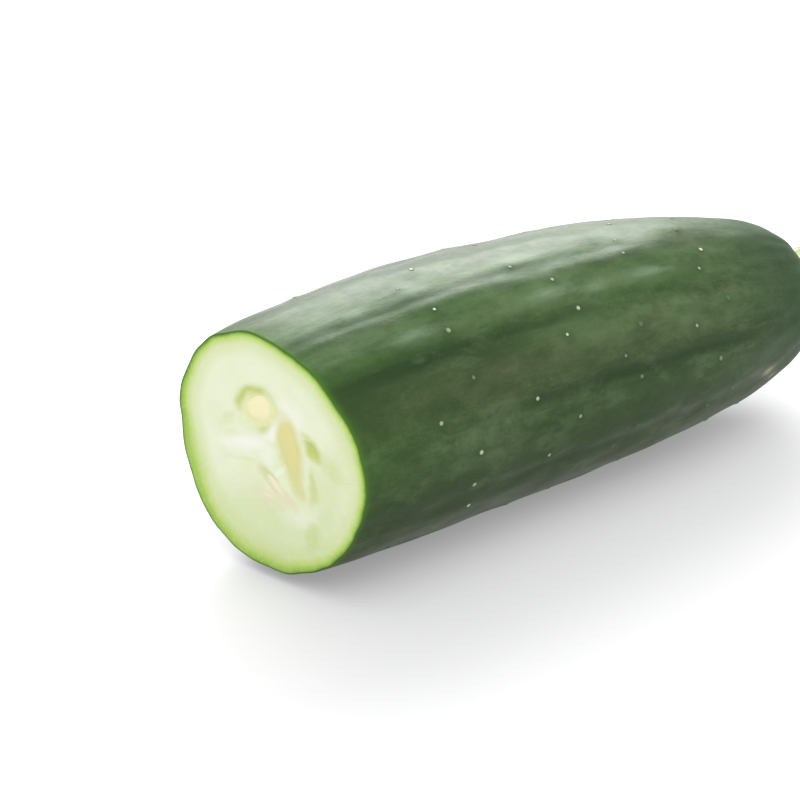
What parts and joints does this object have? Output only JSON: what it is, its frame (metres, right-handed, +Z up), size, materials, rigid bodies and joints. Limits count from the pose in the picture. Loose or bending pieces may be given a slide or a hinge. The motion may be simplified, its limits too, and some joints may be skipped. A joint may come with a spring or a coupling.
{
  "type": "cut cucumber",
  "caption": "Blunt, softly ribbed cucumber lying on its side, cut obliquely across at one end to show pale flesh and a wet seed core, with a short stem stub at the other.",
  "frame": {"origin": "on the surface the cucumber lies on, under the middle of its bounding box", "axes": "+X along the cucumber from the cut face to the stem end, +Y to the side its middle bows towards, +Z up"},
  "size_m": [0.1824, 0.0594, 0.0619],
  "materials": {
    "skin": "satin",
    "flesh": "satin",
    "seed": "satin",
    "stem": "matte"
  },
  "bodies": {
    "root": {"fruit": "skin", "stem_stub": "stem"}
  },
  "joints": []
}
